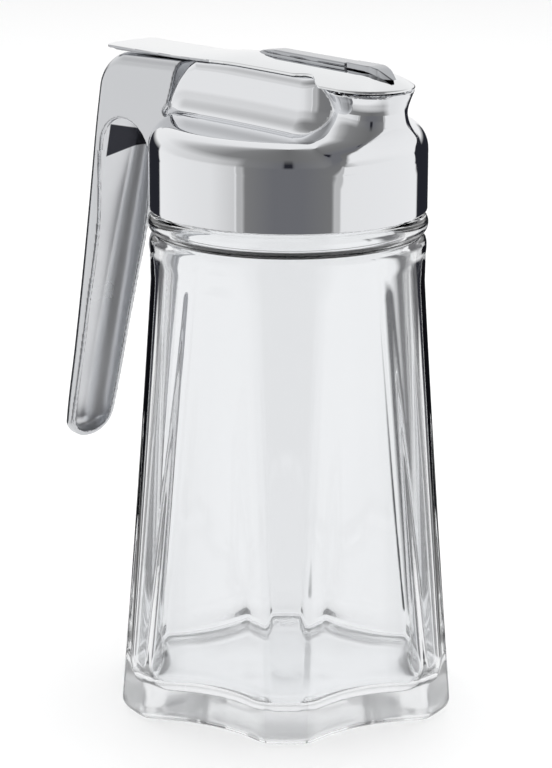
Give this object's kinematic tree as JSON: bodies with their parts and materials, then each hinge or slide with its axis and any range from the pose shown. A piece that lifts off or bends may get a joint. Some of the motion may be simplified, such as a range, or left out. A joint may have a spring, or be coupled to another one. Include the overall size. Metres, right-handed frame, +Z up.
{
  "type": "milk jug",
  "caption": "Clear pressed-glass milk jug with a lobed flaring foot, a chrome pouring head with trough handle, and a sliding thumb-tab lid over the spout.",
  "frame": {"origin": "middle of the glass foot, on the table", "axes": "+Z up, +X towards the spout, -X towards the handle; the head is symmetric about y = 0"},
  "size_m": [0.1289, 0.0894, 0.1649],
  "materials": {
    "clear_glass": "clear, polished",
    "chrome": "bright chrome plate",
    "handle_chrome": "chrome plate",
    "lid_steel": "polished sheet",
    "nose_steel": "polished sheet"
  },
  "bodies": {
    "jug": {"glass_jug": "clear_glass", "pouring_head": "chrome", "handle": "handle_chrome"},
    "lid": {"sliding_lid": "lid_steel", "lid_nose": "nose_steel"}
  },
  "joints": [
    {"name": "lid_slide", "type": "slide", "parent": "jug", "child": "lid", "axis": [-1, 0, 0], "range_m": [0, 0.012], "stiffness_N_per_m": 150, "springref_m": -0.01}
  ]
}
